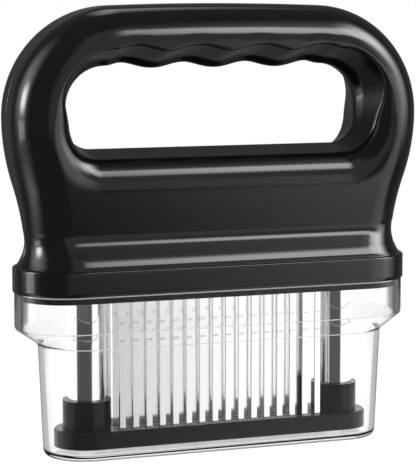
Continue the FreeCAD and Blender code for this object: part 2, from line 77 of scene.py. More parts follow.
def addCamera():
    data = bpy.data.cameras.new("studio_camera")
    data.lens = camera["lens"]
    data.sensor_width = camera["sensor"]
    data.clip_start = camera["near"]
    obj = bpy.data.objects.new("studio_camera", data)
    bpy.context.scene.collection.objects.link(obj)
    obj.location = camera["place"]
    obj.rotation_euler = (math.radians(90 - camera["tilt"]), 0, -math.radians(camera["turn"]))
    bpy.context.scene.camera = obj


addCamera()
print("camera set")


# shader helpers

def newMaterial(name):
    mat = bpy.data.materials.new(name)
    mat.use_nodes = True
    tree = mat.node_tree
    tree.nodes.clear()
    out = tree.nodes.new("ShaderNodeOutputMaterial")
    bsdf = tree.nodes.new("ShaderNodeBsdfPrincipled")
    tree.links.new(bsdf.outputs["BSDF"], out.inputs["Surface"])
    return mat, tree, bsdf


def addNode(tree, kind, **inputs):
    node = tree.nodes.new(kind)
    for key, value in inputs.items():
        node.inputs[key].default_value = value
    return node


def mathNode(tree, operation, first, second=None):
    node = tree.nodes.new("ShaderNodeMath")
    node.operation = operation
    for slot, value in enumerate((first, second)):
        if value is None:
            continue
        if isinstance(value, (int, float)):
            node.inputs[slot].default_value = value
        else:
            tree.links.new(value, node.inputs[slot])
    return node.outputs[0]


def rangeNode(tree, value, fromLow, fromHigh, toLow, toHigh):
    node = tree.nodes.new("ShaderNodeMapRange")
    tree.links.new(value, node.inputs["Value"])
    for key, number in zip(("From Min", "From Max", "To Min", "To Max"), (fromLow, fromHigh, toLow, toHigh)):
        node.inputs[key].default_value = number
    return node.outputs["Result"]


def mixColour(tree, factor, first, second):
    node = tree.nodes.new("ShaderNodeMix")
    node.data_type = "RGBA"
    tree.links.new(factor, node.inputs["Factor"])
    for key, colour in (("A", first), ("B", second)):
        socket = [s for s in node.inputs if s.name == key and s.type == "RGBA"][0]
        socket.default_value = (*colour, 1)
    return [s for s in node.outputs if s.type == "RGBA"][0]


def mixNumber(tree, factor, first, second):
    node = tree.nodes.new("ShaderNodeMix")
    node.data_type = "FLOAT"
    tree.links.new(factor, node.inputs[0])
    for slot, value in ((2, first), (3, second)):
        if isinstance(value, (int, float)):
            node.inputs[slot].default_value = value
        else:
            tree.links.new(value, node.inputs[slot])
    return node.outputs[0]


def mixSurface(tree, share, bsdf, clear):
    # lets a clear shader take its share of the surface
    mix = tree.nodes.new("ShaderNodeMixShader")
    tree.links.new(share, mix.inputs["Fac"])
    tree.links.new(bsdf.outputs["BSDF"], mix.inputs[1])
    tree.links.new(clear.outputs["BSDF"], mix.inputs[2])
    out = next(node for node in tree.nodes if node.type == "OUTPUT_MATERIAL")
    tree.links.new(mix.outputs["Shader"], out.inputs["Surface"])


def groupTree(name, inputs, outputs):
    tree = bpy.data.node_groups.new(name, "ShaderNodeTree")
    for label, default in inputs:
        socket = tree.interface.new_socket(label, in_out="INPUT", socket_type="NodeSocketFloat")
        socket.default_value = default
    for label, kind in outputs:
        tree.interface.new_socket(label, in_out="OUTPUT", socket_type=kind)
    return tree, tree.nodes.new("NodeGroupInput"), tree.nodes.new("NodeGroupOutput")


def placeGroup(tree, group, **inputs):
    node = tree.nodes.new("ShaderNodeGroup")
    node.node_tree = group
    for key, value in inputs.items():
        node.inputs[key].default_value = value
    return node


def mouldedSkinGroup():
    # slow waviness of a moulded wall, with fine handling marks as a mask
    tree, given, out = groupTree(
        "mouldedSkin", [("Wave Size", 60.0), ("Mark Size", 900.0), ("Mark Share", 0.5)],
        [("Wave", "NodeSocketFloat"), ("Marks", "NodeSocketFloat")])
    place = tree.nodes.new("ShaderNodeTexCoord")
    wave = addNode(tree, "ShaderNodeTexNoise", Detail=2.0, Roughness=0.45)
    marks = addNode(tree, "ShaderNodeTexNoise", Detail=6.0, Roughness=0.7)
    for node, size in ((wave, "Wave Size"), (marks, "Mark Size")):
        tree.links.new(place.outputs["Object"], node.inputs["Vector"])
        tree.links.new(given.outputs[size], node.inputs["Scale"])
    above = mathNode(tree, "SUBTRACT", marks.outputs["Fac"], given.outputs["Mark Share"])
    sharp = mathNode(tree, "MULTIPLY", above, 4.0)          # how sharply a mark ends
    clamp = addNode(tree, "ShaderNodeClamp")
    tree.links.new(sharp, clamp.inputs["Value"])
    tree.links.new(wave.outputs["Fac"], out.inputs["Wave"])
    tree.links.new(clamp.outputs[0], out.inputs["Marks"])
    return tree


def drawnLinesGroup():
    # fine lines left by grinding or drawing, along one axis
    tree, given, out = groupTree(
        "drawnLines", [("Across X", 1.0), ("Across Y", 1.0), ("Across Z", 0.02), ("Line Size", 2500.0)],
        [("Lines", "NodeSocketFloat")])
    place = tree.nodes.new("ShaderNodeTexCoord")
    stretch = tree.nodes.new("ShaderNodeCombineXYZ")
    for axis in "XYZ":
        tree.links.new(given.outputs["Across " + axis], stretch.inputs[axis])
    scaled = tree.nodes.new("ShaderNodeVectorMath")
    scaled.operation = "MULTIPLY"
    tree.links.new(place.outputs["Object"], scaled.inputs[0])
    tree.links.new(stretch.outputs[0], scaled.inputs[1])
    lines = addNode(tree, "ShaderNodeTexNoise", Detail=3.0, Roughness=0.6)
    tree.links.new(scaled.outputs[0], lines.inputs["Vector"])
    tree.links.new(given.outputs["Line Size"], lines.inputs["Scale"])
    tree.links.new(lines.outputs["Fac"], out.inputs["Lines"])
    return tree


def softBoxGroup():
    # level of one soft box of the studio, for a direction given as turn and rise in degrees
    labels = (
        "Turn", "Rise", "Centre Turn", "Centre Rise", "Half Turn", "Half Rise",
        "Soft Turn", "Soft Rise", "Level")
    tree, given, out = groupTree(
        "softBox", [(label, 1.0) for label in labels], [("Light", "NodeSocketFloat")])
    light = given.outputs["Level"]
    for way in ("Turn", "Rise"):
        away = mathNode(tree, "ABSOLUTE", mathNode(
            tree, "SUBTRACT", given.outputs[way], given.outputs["Centre " + way]))
        edge = tree.nodes.new("ShaderNodeMapRange")
        edge.interpolation_type = "SMOOTHSTEP"
        edge.inputs["To Min"].default_value = 1
        edge.inputs["To Max"].default_value = 0
        end = mathNode(tree, "ADD", given.outputs["Half " + way], given.outputs["Soft " + way])
        tree.links.new(away, edge.inputs["Value"])
        tree.links.new(given.outputs["Half " + way], edge.inputs["From Min"])
        tree.links.new(end, edge.inputs["From Max"])
        light = mathNode(tree, "MULTIPLY", light, edge.outputs["Result"])
    tree.links.new(light, out.inputs["Light"])
    return tree


mouldedSkin = mouldedSkinGroup()
drawnLines = drawnLinesGroup()
softBox = softBoxGroup()


def mouldedPlastic(name, colour, markColour, roughness, markRoughness, waveSize, waveHeight, shine=0.5):
    mat, tree, bsdf = newMaterial(name)
    skin = placeGroup(tree, mouldedSkin, **{"Wave Size": waveSize})
    tree.links.new(mixColour(tree, skin.outputs["Marks"], colour, markColour), bsdf.inputs["Base Color"])
    tree.links.new(
        rangeNode(tree, skin.outputs["Marks"], 0, 1, roughness, markRoughness), bsdf.inputs["Roughness"])
    bump = addNode(tree, "ShaderNodeBump", Strength=0.4, Distance=waveHeight)
    tree.links.new(skin.outputs["Wave"], bump.inputs["Height"])
    tree.links.new(bump.outputs["Normal"], bsdf.inputs["Normal"])
    bsdf.inputs["IOR"].default_value = 1.5
    bsdf.inputs["Specular IOR Level"].default_value = shine
    return mat


def workedMetal(name, dark, light, roughness, spread, along, lineSize, lineHeight):
    mat, tree, bsdf = newMaterial(name)
    across = {"Across " + axis: value for axis, value in zip("XYZ", along)}
    lines = placeGroup(tree, drawnLines, **across, **{"Line Size": lineSize})
    tree.links.new(mixColour(tree, lines.outputs["Lines"], dark, light), bsdf.inputs["Base Color"])
    tree.links.new(
        rangeNode(tree, lines.outputs["Lines"], 0.3, 0.7, roughness, roughness + spread),
        bsdf.inputs["Roughness"])
    bump = addNode(tree, "ShaderNodeBump", Strength=0.3, Distance=lineHeight)
    tree.links.new(lines.outputs["Lines"], bump.inputs["Height"])
    tree.links.new(bump.outputs["Normal"], bsdf.inputs["Normal"])
    bsdf.inputs["Metallic"].default_value = 1.0
    return mat


clearWall = {
    "ior": 1.49,
    "colour": (0.985, 0.99, 0.99),
    "paintedShadeColour": (0.04, 0.04, 0.042),      # painted shade, on a wall that is seen edge on
    "paintedShadeFacing": (0.38, 0.50),             # from a plain wall to one edge on
    "paintedShadeBand": (45.6 * mm, 46.4 * mm),   # foot of the upper band
    "paintedShadeShare": (0.08, 0.95),              # share of painted shade below the band and in it
    "waveSize": 45.0,
    "waveHeight": 0.05 * mm,
    "markShare": 0.56,
    "markRoughness": 0.035,
    "shadowColour": (0.93, 0.94, 0.94, 1),
}


def clearPlastic(name, clearness, roughness, tint):
    mat, tree, bsdf = newMaterial(name)
    skin = placeGroup(
        tree, mouldedSkin, **{"Wave Size": clearWall["waveSize"], "Mark Share": clearWall["markShare"]})
    bsdf.inputs["IOR"].default_value = clearWall["ior"]
    bsdf.inputs["Transmission Weight"].default_value = clearness
    bsdf.inputs["Specular Tint"].default_value = (tint, tint, tint, 1)
    # painted shade: walls seen edge on are painted darker, most of all in the upper band
    facing = addNode(tree, "ShaderNodeLayerWeight", Blend=0.5)
    place = tree.nodes.new("ShaderNodeTexCoord")
    axes = tree.nodes.new("ShaderNodeSeparateXYZ")
    tree.links.new(place.outputs["Object"], axes.inputs[0])
    steep = rangeNode(tree, facing.outputs["Facing"], *clearWall["paintedShadeFacing"], 0.0, 1.0)
    high = rangeNode(tree, axes.outputs["Z"], *clearWall["paintedShadeBand"], *clearWall["paintedShadeShare"])
    dark = mathNode(tree, "MULTIPLY", steep, high)
    tree.links.new(
        mixColour(tree, dark, clearWall["colour"], clearWall["paintedShadeColour"]), bsdf.inputs["Base Color"])
    marked = rangeNode(
        tree, skin.outputs["Marks"], 0, 1, roughness, roughness + clearWall["markRoughness"])
    tree.links.new(marked, bsdf.inputs["Roughness"])
    bump = addNode(tree, "ShaderNodeBump", Strength=0.15, Distance=clearWall["waveHeight"])
    tree.links.new(skin.outputs["Wave"], bump.inputs["Height"])
    tree.links.new(bump.outputs["Normal"], bsdf.inputs["Normal"])
    # lets the lamps reach what stands inside the cover
    path = tree.nodes.new("ShaderNodeLightPath")
    through = addNode(tree, "ShaderNodeBsdfTransparent", Color=clearWall["shadowColour"])
    mixSurface(tree, path.outputs["Is Shadow Ray"], bsdf, through)
    return mat


handleBlack = mouldedPlastic(
    "handle_black", colour=(0.0045, 0.0045, 0.0047), markColour=(0.006, 0.006, 0.0062),
    roughness=0.10, markRoughness=0.13, waveSize=35.0, waveHeight=0.04 * mm)
baseBlack = mouldedPlastic(
    "base_black", colour=(0.007, 0.007, 0.0075), markColour=(0.010, 0.010, 0.011),
    roughness=0.22, markRoughness=0.3, waveSize=80.0, waveHeight=0.05 * mm, shine=0.15)
guardBlack = mouldedPlastic(
    "guard_black", colour=(0.006, 0.006, 0.0065), markColour=(0.009, 0.009, 0.009),
    roughness=0.14, markRoughness=0.2, waveSize=90.0, waveHeight=0.05 * mm, shine=0.15)
holderBlack = mouldedPlastic(
    "holder_black", colour=(0.018, 0.018, 0.019), markColour=(0.026, 0.026, 0.027),
    roughness=0.42, markRoughness=0.5, waveSize=400.0, waveHeight=0.04 * mm)
bushWhite = mouldedPlastic(
    "bush_white", colour=(0.70, 0.69, 0.66), markColour=(0.64, 0.63, 0.60),
    roughness=0.38, markRoughness=0.46, waveSize=300.0, waveHeight=0.03 * mm)
bladeSteel = workedMetal(
    "blade_steel", dark=(0.80, 0.80, 0.805), light=(0.90, 0.90, 0.90),
    roughness=0.09, spread=0.07, along=(1.0, 1.0, 0.02), lineSize=2600.0, lineHeight=0.004 * mm)
tubeSteel = workedMetal(
    "tube_steel", dark=(0.72, 0.72, 0.73), light=(0.80, 0.80, 0.81),
    roughness=0.07, spread=0.05, along=(0.03, 0.03, 1.0), lineSize=3800.0, lineHeight=0.002 * mm)
wireSteel = workedMetal(
    "wire_steel", dark=(0.52, 0.52, 0.53), light=(0.66, 0.66, 0.66),
    roughness=0.25, spread=0.15, along=(0.2, 0.2, 1.0), lineSize=3000.0, lineHeight=0.004 * mm)
screwSteel = workedMetal(
    "screw_steel", dark=(0.50, 0.50, 0.51), light=(0.64, 0.64, 0.65),
    roughness=0.28, spread=0.16, along=(1.0, 1.0, 0.2), lineSize=3400.0, lineHeight=0.006 * mm)
coverClear = clearPlastic("clear_cover", clearness=1.0, roughness=0.0, tint=0.35)
# painted highlight: a milky, less clear finish for the rim and the creases of the cover, so that they show as
# bright lines
coverPaintedHighlight = clearPlastic("cover_painted_highlight", clearness=0.15, roughness=0.15, tint=1.0)
print("materials made")


# mesh helpers

def meshPiece(name, points, faces, material, body, stands):
    mesh = bpy.data.meshes.new(name)
    mesh.from_pydata([tuple(p) for p in points], [], faces)
    mesh.validate()
    mesh.update()
    obj = bpy.data.objects.new(name, mesh)
    bpy.context.scene.collection.objects.link(obj)
    mesh.materials.append(material)
    mesh.polygons.foreach_set("use_smooth", [True] * len(mesh.polygons))
    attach(obj, body)
    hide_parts(*stands)
    return obj


def gridFaces(rows, columns, closed=False, start=0):
    faces = []
    last = columns if closed else columns - 1
    for row in range(rows - 1):
        for column in range(last):
            after = (column + 1) % columns
            low = start + row * columns
            high = low + columns
            faces.append((low + column, low + after, high + after, high + column))
    return faces


def evenSteps(points, count):
    # count points spread evenly along a close-set line of points
    gaps = np.linalg.norm(np.diff(points, axis=0), axis=1)
    along = np.concatenate([[0], np.cumsum(gaps)])
    wanted = np.linspace(0, along[-1], count)
    return np.stack([np.interp(wanted, along, points[:, axis]) for axis in range(points.shape[1])], 1)


# handle: two shells round the hand opening

handle = {
    "waistHalfLength": skirtHalfLength - 4.75 * mm,
    "waistHalfDepth": skirtHalfDepth - 6.2 * mm,
    "waistFlat": 0.3 * mm,
    "widestHeight": skirtTop + 52.0 * mm,
    "widestHalfLength": skirtHalfLength + 2.3 * mm,
    "widestHalfDepth": skirtHalfDepth - 0.5 * mm,
    "widestFlat": 5.0 * mm,
    "lowerSideRadius": 113.0 * mm,
    "sideSplit": 19.0 * mm,      # below the widest height, where the close lines of the foot begin
    "bodyStart": skirtTop - 1.0 * mm,
    "flareTop": skirtTop + 12.3 * mm,
    "flareBends": ((0, 33, 8.0 * mm), (33, 58, 3.0 * mm)),      # turned from, turned to, radius
    "flareFoot": 0.05 * mm,      # how far above the skirt's top the flare ends
    "flareInset": 0.56 * mm,     # how far inside the skirt's front it ends
    "sideFlareRadius": 14.0 * mm,
    "sideFlareTop": skirtTop + 9.34 * mm,
    "archRadius": 39.0 * mm,
    "archEnd": 84.0,             # degrees from upright where the sides take over
    "crownRadius": 1042.0 * mm,
    "skirtFillet": 0.8 * mm,
    "skirtEdge": 0.3 * mm,
    "seam": 0.22 * mm,           # chamfer where the two shells meet
    "seamDepth": 0.02 * mm,      # how far each shell ends from the middle plane
    "wall": 2.2 * mm,
}
opening = {
    "floor": handle["widestHeight"] - 11.2 * mm,
    "top": handle["widestHeight"] + 19.0 * mm,
    "halfWidth": handle["widestHalfLength"] - 21.1 * mm,
    "lowCorner": 9.0 * mm,
    "highCorner": 14.0 * mm,
    "fingerPitch": 23.57 * mm,
    "fingerDepth": 2.0 * mm,
    "fingerEnd": 1.1 * mm,
    "wallLine": ((0, 0), (0.30, 2.0), (0.85, 5.4)),         # mm out from the opening, mm deep
    "edgeRadius": 8.1 * mm,
    "edgeEnd": 9.8 * mm,
    "gripWallLine": ((0, 0), (0.06, 2.0), (2.4, 5.4)),      # the same under the grip
    "gripEdgeRadius": 1.2 * mm,
    "gripEdgeEnd": 7.4 * mm,
    "gripFrom": 25.0 * mm,       # below the top, where the wall begins to turn into the grip's
    "gripFull": 4.0 * mm,        # below the top, where it is all the grip's
    "edgeAngle": 18.0,           # degrees that the rounded edge starts at
    "crease": 0.10 * mm,         # half width of the turn at each crease of the wall
    "floorStretch": 0.35,        # the rounded edge runs further down under the opening
}


def bodyHalves(z):
    # half length, half depth and half flat of the level section at height z
    gain = handle["widestHalfLength"] - handle["waistHalfLength"]
    span = handle["widestHeight"] - handle["bodyStart"]
    lower = handle["lowerSideRadius"]
    upper = (gain * gain + span * span) / (2 * gain) - lower
    meeting = handle["bodyStart"] + span * lower / (lower + upper)
    if z <= meeting:
        out = lower - math.sqrt(lower ** 2 - (z - handle["bodyStart"]) ** 2)
    else:
        drop = min(abs(handle["widestHeight"] - z), span)
        out = gain - upper + math.sqrt(upper ** 2 - drop ** 2)
    rise = out / gain
    return (
        handle["waistHalfLength"] + rise * gain,
        handle["waistHalfDepth"] + rise * (handle["widestHalfDepth"] - handle["waistHalfDepth"]),
        handle["waistFlat"] + rise * (handle["widestFlat"] - handle["waistFlat"]))


def archCircles():
    # x of the centre of the corner arc, turn where the crown meets it, height of the crown's centre
    archX = handle["widestHalfLength"] - handle["archRadius"]
    between = handle["crownRadius"] - handle["archRadius"]
    turn = math.asin(archX / between)
    return archX, turn, handle["widestHeight"] - between * math.cos(turn)


def outerDepth(x, z):
    # how far the outside stands from the middle plane at (x, z)
    if z <= handle["widestHeight"]:
        halfLength, halfDepth, flat = bodyHalves(z)
        inward = halfLength - abs(x)
    else:
        halfDepth, flat = handle["widestHalfDepth"], handle["widestFlat"]
        archX, turn, centre = archCircles()
        fromCrown = math.atan2(abs(x), z - centre)
        if fromCrown < turn:
            inward = handle["crownRadius"] - math.hypot(x, z - centre)
        else:
            inward = handle["archRadius"] - math.hypot(
                max(abs(x) - archX, 0), z - handle["widestHeight"])
    corner = halfDepth - flat
    if inward >= corner:
        return halfDepth
    return flat + math.sqrt(max(corner ** 2 - (corner - max(inward, 0)) ** 2, 0))


def gripWave(x):
    # height of the upper edge of the opening, with its four finger hollows
    lastCrest = 1.5 * opening["fingerPitch"]
    if abs(x) <= lastCrest:
        wave = 1 + math.cos(2 * math.pi * x / opening["fingerPitch"])
        return opening["top"] - opening["fingerDepth"] * wave / 2
    run = (abs(x) - lastCrest) / (opening["halfWidth"] - opening["highCorner"] - lastCrest)
    run = min(run, 1)
    return opening["top"] - opening["fingerEnd"] * run * run * (3 - 2 * run)


# how many lines of the mesh run out from each stretch of the opening
rays = {
    "top": 34,
    "highCorner": 26,
    "side": 10,
    "lowSide": 14,
    "lowFront": 18,
    "bottom": 22,
}
wallRows = (3, 4, 9)             # rows on each straight stretch of the wall
edgeRows = 12
faceRows = 46
closeSteps = 400                 # points along a line before its rows are spread evenly
sideSteps = 30


def innerOutline():
    # right half of the opening at the middle plane, from top centre round to bottom centre
    points = []
    corner, low = opening["highCorner"], opening["lowCorner"]
    start = opening["halfWidth"] - corner
    shoulder = opening["top"] - opening["fingerEnd"]
    for step in range(rays["top"]):
        x = start * step / rays["top"]
        points.append((x, gripWave(x)))
    for step in range(rays["highCorner"]):
        turn = math.pi / 2 * step / rays["highCorner"]
        points.append((start + corner * math.sin(turn), shoulder - corner + corner * math.cos(turn)))
    sideTop, sideLow = shoulder - corner, opening["floor"] + low
    for step in range(rays["side"]):
        points.append((opening["halfWidth"], sideTop + (sideLow - sideTop) * step / rays["side"]))
    lowRays = rays["lowSide"] + rays["lowFront"]
    for step in range(lowRays):
        turn = math.pi / 2 * step / lowRays
        points.append((
            opening["halfWidth"] - low + low * math.cos(turn), opening["floor"] + low - low * math.sin(turn)))
    for step in range(rays["bottom"] + 1):
        points.append(((opening["halfWidth"] - low) * (1 - step / rays["bottom"]), opening["floor"]))
    return points


def sectionPoint(halfLength, halfDepth, flat, share):
    # point of a level half section: share runs from -2 to 2, and -1 to 1 is the flat front
    corner = halfDepth - flat
    side = math.copysign(1, share)
    reach = abs(share)
    if reach <= 1:
        return share * (halfLength - corner), -halfDepth
    turn = (reach - 1) * math.pi / 2
    return side * (halfLength - corner + corner * math.sin(turn)), -(flat + corner * math.cos(turn))


def outerTargets():
    # for each ray of the right half: where it ends, as ("edge", x, z) or ("section", share)
    targets = []
    archX, turn, centre = archCircles()
    archEnd = math.radians(handle["archEnd"])
    for step in range(rays["top"]):
        angle = turn * step / rays["top"]
        targets.append((
            "edge", handle["crownRadius"] * math.sin(angle),
            centre + handle["crownRadius"] * math.cos(angle)))
    for step in range(rays["highCorner"]):
        angle = turn + (archEnd - turn) * step / rays["highCorner"]
        targets.append((
            "edge", archX + handle["archRadius"] * math.sin(angle),
            handle["widestHeight"] + handle["archRadius"] * math.cos(angle)))
    top = handle["widestHeight"] + handle["archRadius"] * math.cos(archEnd)
    middle = handle["widestHeight"] - handle["sideSplit"]
    for low, high, count in ((middle, top, rays["side"]), (handle["flareTop"], middle, rays["lowSide"])):
        for step in range(count):
            z = high + (low - high) * step / count
            if z > handle["widestHeight"]:
                x = archX + math.sqrt(handle["archRadius"] ** 2 - (z - handle["widestHeight"]) ** 2)
            else:
                x = bodyHalves(z)[0]
            targets.append(("edge", x, z))
    targets.append(("edge", bodyHalves(handle["flareTop"])[0], handle["flareTop"]))
    for step in range(1, rays["lowFront"]):
        targets.append(("section", 2 - step / rays["lowFront"]))
    for step in range(rays["bottom"] + 1):
        targets.append(("section", 1 - step / rays["bottom"]))
    return targets


def wallProfile(grip):
    # (out from the opening, depth) of the rows of the wall; grip is 1 under the grip and 0 elsewhere
    edgeAngle = math.radians(opening["edgeAngle"])
    full = handle["widestHalfDepth"]

    def keys(points, radius, end):
        start = (end - radius * math.cos(edgeAngle), full - radius * (1 - math.sin(edgeAngle)))
        return [np.array(p) * mm for p in points] + [np.array(start)], radius, end

    under = keys(opening["gripWallLine"], opening["gripEdgeRadius"], opening["gripEdgeEnd"])
    plain = keys(opening["wallLine"], opening["edgeRadius"], opening["edgeEnd"])
    lines, radius, end = [
        [g * grip + p * (1 - grip) for g, p in zip(under[0], plain[0])],
        under[1] * grip + plain[1] * (1 - grip),
        under[2] * grip + plain[2] * (1 - grip)]
    rows = []
    for low, high, count in zip(lines, lines[1:], wallRows):
        length = np.linalg.norm(high - low)
        first = opening["crease"] / length
        for share in [first] + [first + (1 - 2 * first) * (i + 1) / count for i in range(count)]:
            rows.append(low + (high - low) * share)
    chamfer = [np.array((handle["seam"], handle["seamDepth"])), np.array((0.0, handle["seam"]))]
    lead = 0.12                  # the first row of the arc stands just past the crease
    arc = []
    for step in range(edgeRows + 1):
        angle = edgeAngle + (math.pi / 2 - edgeAngle) * (step + lead) / (edgeRows + lead)
        arc.append(np.array((end - radius * math.cos(angle), full - radius * (1 - math.sin(angle)))))
    return chamfer + rows[1:], arc, end


def shellPoints():
    # lines of points from the opening out over the front to the edge of the shell
    inner = innerOutline()
    targets = outerTargets()
    count = len(inner)
    line = np.array(inner)
    ahead = np.roll(line, -1, 0)
    behind = np.roll(line, 1, 0)
    ahead[-1] = 2 * line[-1] - line[-2]
    behind[0] = 2 * line[0] - line[1]
    tangent = ahead - behind
    normal = np.stack([-tangent[:, 1], tangent[:, 0]], 1)
    normal /= np.linalg.norm(normal, axis=1)[:, None]
    normal[0] = (0, 1)
    normal[-1] = (0, -1)
    # the lines fan out evenly round the corners
    kernel = np.array([0.25, 0.5, 0.25])
    for _ in range(3):
        middle = np.stack([np.convolve(normal[:, axis], kernel, "same") for axis in (0, 1)], 1)
        normal[1:-1] = middle[1:-1]
        normal /= np.linalg.norm(normal, axis=1)[:, None]
    columns = []
    gripFrom = opening["top"] - opening["gripFrom"]
    gripFull = opening["top"] - opening["gripFull"]
    for index in range(count):
        x, z = inner[index]
        grip = min(max((z - gripFrom) / (gripFull - gripFrom), 0), 1)
        grip = grip * grip * (3 - 2 * grip)
        wall, arc, end = wallProfile(grip)
        stretch = 1 + opening["floorStretch"] * max(-normal[index][1], 0) ** 2
        foot = np.array((x, z)) + normal[index] * end * stretch
        depth = outerDepth(*foot)
        scale = depth / handle["widestHalfDepth"]
        column = []
        for out, deep in wall + arc:
            place = np.array((x, z)) + normal[index] * out * stretch
            column.append((place[0], -deep * scale, place[1]))
        kind = targets[index][0]
        if kind == "edge":
            goal = np.array(targets[index][1:])
        else:
            halves = bodyHalves(handle["flareTop"])
            goal = np.array((sectionPoint(*halves, targets[index][1])[0], handle["flareTop"]))
        dense = []
        for share in np.linspace(0, 1, closeSteps):
            run = 1 - (1 - share) ** 2 if kind == "edge" else share
            place = foot + (goal - foot) * run
            dense.append((place[0], -outerDepth(*place), place[1]))
        if kind == "edge":
            inward = (foot - goal) / np.linalg.norm(foot - goal)
            flat = -dense[-1][1]
            seam = handle["seam"]
            for deep in np.linspace(flat, seam, sideSteps)[1:]:
                dense.append((goal[0], -deep, goal[1]))
            face = evenSteps(np.array(dense), faceRows - 1)
            last = goal + inward * seam
            face = np.concatenate([face, [(last[0], -handle["seamDepth"], last[1])]])
        else:
            face = evenSteps(np.array(dense), faceRows)
        columns.append(np.concatenate([np.array(column), face[1:]]))
    return np.array(columns), targets, len(wall) + len(arc)


def flareLine():
    # (drop, out) of the front flare: a bend, a straight flank and a tighter bend at its foot
    full = handle["flareTop"] - skirtTop - handle["flareFoot"]
    bent = sum(
        radius * (math.sin(math.radians(high)) - math.sin(math.radians(low)))
        for low, high, radius in handle["flareBends"])
    steps = 7
    drop, out = 0.0, 0.0
    line = []
    for number, (low, high, radius) in enumerate(handle["flareBends"]):
        for step in range(1, steps + 1):
            before = math.radians(low + (high - low) * (step - 1) / steps)
            after = math.radians(low + (high - low) * step / steps)
            drop += radius * (math.sin(after) - math.sin(before))
            out += radius * (math.cos(before) - math.cos(after))
            line.append((drop, out))
        if number == 0:
            flank = full - bent
            slope = math.tan(math.radians(high))
            for share in (0.08, 0.5, 0.92):
                line.append((drop + flank * share, out + flank * share * slope))
            drop, out = drop + flank, out + flank * slope
    return line


def skirtRows():
    # (height, half length, half depth) from the foot of the arms down over the flare and the skirt
    rows = []
    for drop, out in flareLine():
        z = handle["flareTop"] - drop
        halfLength, halfDepth = bodyHalves(max(z, handle["bodyStart"]))[:2]
        sideDrop = max(handle["sideFlareTop"] - z, 0)
        radius = handle["sideFlareRadius"]
        halfLength += radius - math.sqrt(radius ** 2 - sideDrop ** 2)
        rows.append((z, halfLength, min(halfDepth + out, skirtHalfDepth - handle["flareInset"])))
    fillet, edge = handle["skirtFillet"], handle["skirtEdge"]
    foot = skirtHeight - fillet
    drops = []
    for turn in (72, 66, 55, 44, 33, 22, 11, 0):
        angle = math.radians(turn)
        drops.append((-fillet * math.sin(angle), fillet * (1 - math.cos(angle))))
    # the straight wall under the rounded edge, and the small one at its foot
    drops += [(1.2 * mm, 0), (4.0 * mm, 0), (6.8 * mm, 0), (foot - edge, 0), (foot, edge)]
    for drop, back in drops:
        rows.append((skirtTop - fillet - drop, skirtHalfLength - back, skirtHalfDepth - back))
    return rows


def smoothRows(columns, low, high, rounds):
    # evens out the rows from low to high
    for _ in range(rounds):
        middle = (columns[:, low - 1:high - 1] + columns[:, low + 1:high + 1]) / 2
        columns[:, low:high] = (columns[:, low:high] + middle) / 2
    return columns


def buildShell(name, stands, side):
    columns, targets, arcEnd = shellPoints()
    columns = smoothRows(columns, arcEnd - 3, arcEnd + 4, 8)
    half, rowCount, _ = columns.shape
    mirrored = columns[1:-1][::-1] * np.array((-1, 1, 1))
    ring = np.concatenate([columns, mirrored])
    ringCount = len(ring)
    points = ring.reshape(-1, 3)
    faces = []
    for column in range(ringCount):
        after = (column + 1) % ringCount
        for row in range(rowCount - 1):
            faces.append((
                column * rowCount + row, after * rowCount + row,
                after * rowCount + row + 1, column * rowCount + row + 1))
    # the skirt hangs on the last row of the rays that end at the foot of the arms
    first = next(i for i, t in enumerate(targets) if t[0] == "section") - 1
    shares = [2.0] + [t[1] for t in targets if t[0] == "section"]
    order = list(range(first, half)) + list(range(half, ringCount - first + 1))
    values = shares + [-share for share in shares[:-1]][::-1]
    above = [column * rowCount + rowCount - 1 for column in order]
    points = list(points)
    for z, halfLength, halfDepth in skirtRows():
        here = []
        for position, share in enumerate(values):
            x, y = sectionPoint(halfLength, halfDepth, handle["waistFlat"], share)
            if position in (0, len(values) - 1):
                x, y = x - math.copysign(handle["seam"], x), -handle["seamDepth"]
            here.append(len(points))
            points.append(np.array((x, y, z)))
        for spot in range(len(here) - 1):
            faces.append((above[spot], above[spot + 1], here[spot + 1], here[spot]))
        above = here
    points = np.array(points)
    if side > 0:
        points = points * np.array((1, -1, 1))
        faces = [face[::-1] for face in faces]
    obj = meshPiece(name, points, faces, handleBlack, "handle", [stands])
    wall = obj.modifiers.new("wall", "SOLIDIFY")
    wall.thickness = handle["wall"]
    wall.offset = -1
    wall.use_even_offset = False


buildShell("front_half", "front_shell", -1)
buildShell("rear_half", "rear_shell", 1)
print("handle shells built")


# clear cover

cover = {
    "wall": 1.9 * mm,
    "footLength": postX + 15.4 * mm,
    "footDepth": 15.4 * mm,
    "footRadius": 2.6 * mm,
    "draft": 1.7 * mm,
    "floor": 2.0 * mm,
    "floorRadius": 0.9 * mm,
    "shoulderLow": 40.2 * mm,
    "shoulderHigh": 45.8 * mm,
    "shoulderRadius": 1.1 * mm,
    "innerRadius": 0.7 * mm,
    "rimLength": skirtHalfLength - 0.6 * mm,
    "rimDepth": skirtHalfDepth - 0.6 * mm,
    "rimRadius": 0.45 * mm,
    "flat": 0.3 * mm,            # half of the straight part at each end
    "capStep": 4.0 * mm,         # how far in the flat of the floor begins
}


def roundedRows(keys, steps):
    # rows of numbers along straight runs between keys, turned with a radius at each key
    rows = [np.array(keys[0][:-1])]
    for before, here, after in zip(keys, keys[1:], keys[2:]):
        corner = np.array(here[:-1])
        back = np.array(before[:-1]) - corner
        on = np.array(after[:-1]) - corner
        first = corner + back / np.linalg.norm(back) * here[-1]
        last = corner + on / np.linalg.norm(on) * here[-1]
        for step in range(steps + 1):
            share = step / steps
            rows.append(first * (1 - share) ** 2 + corner * 2 * share * (1 - share) + last * share * share)
    rows.append(np.array(keys[-1][:-1]))
    return rows


